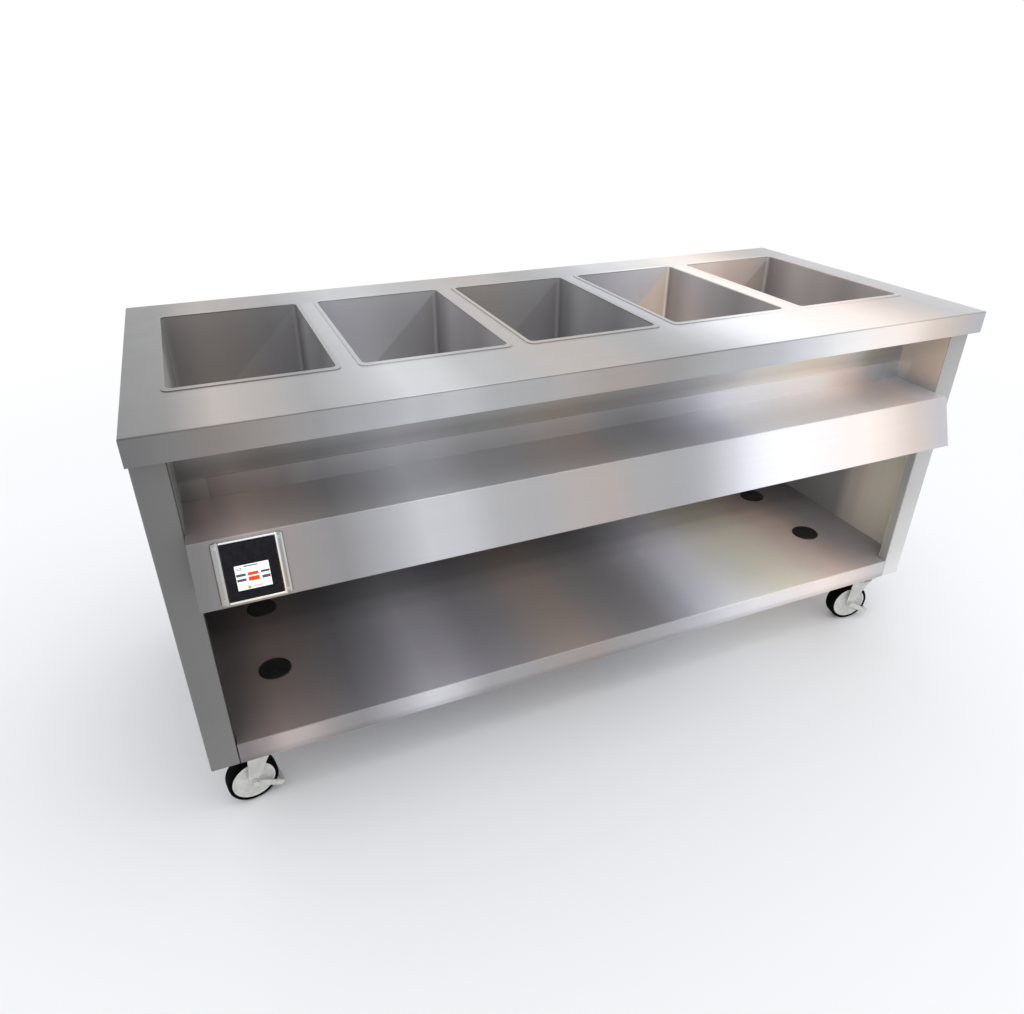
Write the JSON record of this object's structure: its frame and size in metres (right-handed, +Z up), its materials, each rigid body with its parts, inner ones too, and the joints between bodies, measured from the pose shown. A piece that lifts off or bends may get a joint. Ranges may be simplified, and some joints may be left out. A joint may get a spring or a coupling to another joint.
{
  "type": "mobile steam table",
  "caption": "Mobile hot food counter with a row of heated wells, a plate shelf with sloping control fascia, an open bottom shelf, drains and swivel casters with brakes.",
  "frame": {"origin": "on the floor under the middle of the bounding box", "axes": "+X to the right as seen from the front, +Y from the front to the back, +Z up"},
  "size_m": [1.88, 0.8676, 0.9155],
  "materials": {
    "counter_steel": "brushed",
    "pan_steel": "satin",
    "panel_steel": "brushed",
    "shelf_steel": "brushed",
    "liner_steel": "satin",
    "housing_steel": "satin",
    "deck_steel": "brushed",
    "back_steel": "brushed",
    "galvanised": "galvanised",
    "drain_steel": "polished",
    "drain_brass": "plain",
    "copper": "tarnished",
    "lever_vinyl": "dipped",
    "element_sheath": "heat-stained",
    "aluminised": "dull",
    "mineral_wool": "matt",
    "screw_steel": "plain",
    "black_plastic": "matt",
    "bezel_chrome": "polished",
    "gloss_black": "glossy",
    "display": "lit",
    "zinc": "zinc plated",
    "hub_grey": "moulded",
    "tyre_black": "plain"
  },
  "bodies": {
    "cabinet": {"countertop": "counter_steel", "stiffening_channels": "galvanised", "well_pan_1": "pan_steel", "well_pan_2": "pan_steel", "well_pan_3": "pan_steel", "well_pan_4": "pan_steel", "well_pan_5": "pan_steel", "well_drains": "drain_steel", "drain_strainers": "drain_steel", "drain_nuts": "drain_brass", "drain_manifold": "copper", "drain_valve_body": "drain_brass", "drain_spout": "copper", "heating_elements": "element_sheath", "heater_trays": "aluminised", "temperature_probes": "element_sheath", "insulation": "mineral_wool", "well_housing": "housing_steel", "left_end_panel": "panel_steel", "right_end_panel": "panel_steel", "bay_liners": "liner_steel", "plate_shelf": "shelf_steel", "wireway_cover": "galvanised", "back_panel": "back_steel", "back_panel_screws": "screw_steel", "bottom_shelf": "deck_steel", "shelf_angles": "galvanised", "deck_plugs": "black_plastic", "control_bezel": "bezel_chrome", "bezel_screws": "screw_steel", "control_panel": "gloss_black", "display_screen": "display", "controller_case": "black_plastic", "junction_box": "galvanised", "junction_box_lid": "galvanised", "heater_relays": "black_plastic", "wiring_conduits": "galvanised", "power_gland": "black_plastic", "caster_channels": "galvanised", "caster_plates": "zinc", "caster_bolts": "screw_steel"},
    "caster_fl": {"fork_fl": "zinc", "axle_fl": "zinc"},
    "wheel_fl": {"hub_fl": "hub_grey", "tyre_fl": "tyre_black"},
    "pedal_fl": {"brake_fl": "zinc"},
    "caster_fr": {"fork_fr": "zinc", "axle_fr": "zinc"},
    "wheel_fr": {"hub_fr": "hub_grey", "tyre_fr": "tyre_black"},
    "pedal_fr": {"brake_fr": "zinc"},
    "caster_rl": {"fork_rl": "zinc", "axle_rl": "zinc"},
    "wheel_rl": {"hub_rl": "hub_grey", "tyre_rl": "tyre_black"},
    "caster_rr": {"fork_rr": "zinc", "axle_rr": "zinc"},
    "wheel_rr": {"hub_rr": "hub_grey", "tyre_rr": "tyre_black"},
    "drain_lever": {"drain_valve_handle": "lever_vinyl"}
  },
  "joints": [
    {"name": "swivel_fl", "type": "hinge", "parent": "cabinet", "child": "caster_fl", "pos_m": [-0.843, -0.29718, 0.138], "axis": [0, 0, 1], "continuous": true},
    {"name": "spin_fl", "type": "hinge", "parent": "caster_fl", "child": "wheel_fl", "pos_m": [-0.86664, -0.30134, 0.055], "axis": [-0.1736, 0.9848, 0], "continuous": true},
    {"name": "brake_fl", "type": "hinge", "parent": "caster_fl", "child": "pedal_fl", "pos_m": [-0.86664, -0.30134, 0.055], "axis": [-0.1736, 0.9848, 0], "range_deg": [-14, 12]},
    {"name": "swivel_fr", "type": "hinge", "parent": "cabinet", "child": "caster_fr", "pos_m": [0.843, -0.31118, 0.138], "axis": [0, 0, 1], "continuous": true},
    {"name": "spin_fr", "type": "hinge", "parent": "caster_fr", "child": "wheel_fr", "pos_m": [0.81944, -0.3066, 0.055], "axis": [0.1908, 0.9816, 0], "continuous": true},
    {"name": "brake_fr", "type": "hinge", "parent": "caster_fr", "child": "pedal_fr", "pos_m": [0.81944, -0.3066, 0.055], "axis": [0.1908, 0.9816, 0], "range_deg": [-14, 12]},
    {"name": "swivel_rl", "type": "hinge", "parent": "cabinet", "child": "caster_rl", "pos_m": [-0.843, 0.35882, 0.138], "axis": [0, 0, 1], "continuous": true},
    {"name": "spin_rl", "type": "hinge", "parent": "caster_rl", "child": "wheel_rl", "pos_m": [-0.86677, 0.36216, 0.055], "axis": [0.1392, 0.9903, 0], "continuous": true},
    {"name": "swivel_rr", "type": "hinge", "parent": "cabinet", "child": "caster_rr", "pos_m": [0.843, 0.35882, 0.138], "axis": [0, 0, 1], "continuous": true},
    {"name": "spin_rr", "type": "hinge", "parent": "caster_rr", "child": "wheel_rr", "pos_m": [0.81923, 0.35548, 0.055], "axis": [-0.1392, 0.9903, 0], "continuous": true},
    {"name": "drain_valve_turn", "type": "hinge", "parent": "cabinet", "child": "drain_lever", "pos_m": [0.797, 0.06382, 0.6007], "axis": [0, 0, -1], "range_deg": [0, 90]}
  ]
}
